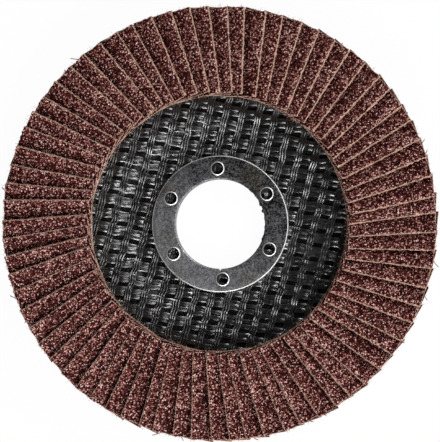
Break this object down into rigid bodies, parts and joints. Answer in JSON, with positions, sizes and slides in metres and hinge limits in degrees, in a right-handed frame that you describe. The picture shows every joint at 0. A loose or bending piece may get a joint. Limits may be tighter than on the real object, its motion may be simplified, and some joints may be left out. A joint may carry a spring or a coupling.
{
  "type": "flap disc",
  "caption": "Round abrasive disc of overlapping cloth flaps bonded to a dished woven glass backing plate, with a pressed steel arbor ring.",
  "frame": {"origin": "on the bore axis, in the plane of the crimped lip's back face, the lowest face", "axes": "+Z along the bore axis out of the abrasive face; +X and +Y lie in the plane of the disc"},
  "size_m": [0.1077, 0.1077, 0.0122],
  "materials": {
    "plated_steel": "dull mottled plating",
    "glass_laminate": "black resin over woven glass, glossy",
    "resin_glue": "cured resin, matt",
    "abrasive_cloth": "coarse red-brown abrasive grit on cloth"
  },
  "bodies": {
    "root": {"arbor_ring": "plated_steel", "backing_plate": "glass_laminate", "adhesive_bed": "resin_glue", "flaps_01_02": "abrasive_cloth", "flaps_03_04": "abrasive_cloth", "flaps_05_06": "abrasive_cloth", "flaps_07_08": "abrasive_cloth", "flaps_09_10": "abrasive_cloth", "flaps_11_12": "abrasive_cloth", "flaps_13_14": "abrasive_cloth", "flaps_15_16": "abrasive_cloth", "flaps_17_18": "abrasive_cloth", "flaps_19_20": "abrasive_cloth", "flaps_21_22": "abrasive_cloth", "flaps_23_24": "abrasive_cloth", "flaps_25_26": "abrasive_cloth", "flaps_27_28": "abrasive_cloth", "flaps_29_30": "abrasive_cloth", "flaps_31_32": "abrasive_cloth", "flaps_33_34": "abrasive_cloth", "flaps_35_36": "abrasive_cloth", "flaps_37_38": "abrasive_cloth", "flaps_39_40": "abrasive_cloth", "flaps_41_42": "abrasive_cloth", "flaps_43_44": "abrasive_cloth", "flaps_45_46": "abrasive_cloth", "flaps_47_48": "abrasive_cloth", "flaps_49_50": "abrasive_cloth", "flaps_51_52": "abrasive_cloth", "flaps_53_54": "abrasive_cloth", "flaps_55_56": "abrasive_cloth", "flaps_57_58": "abrasive_cloth", "flaps_59_60": "abrasive_cloth", "flaps_61_62": "abrasive_cloth", "flaps_63_64": "abrasive_cloth", "flaps_65_66": "abrasive_cloth", "flaps_67_68": "abrasive_cloth", "flaps_69_70": "abrasive_cloth", "flaps_71_72": "abrasive_cloth"}
  },
  "joints": []
}
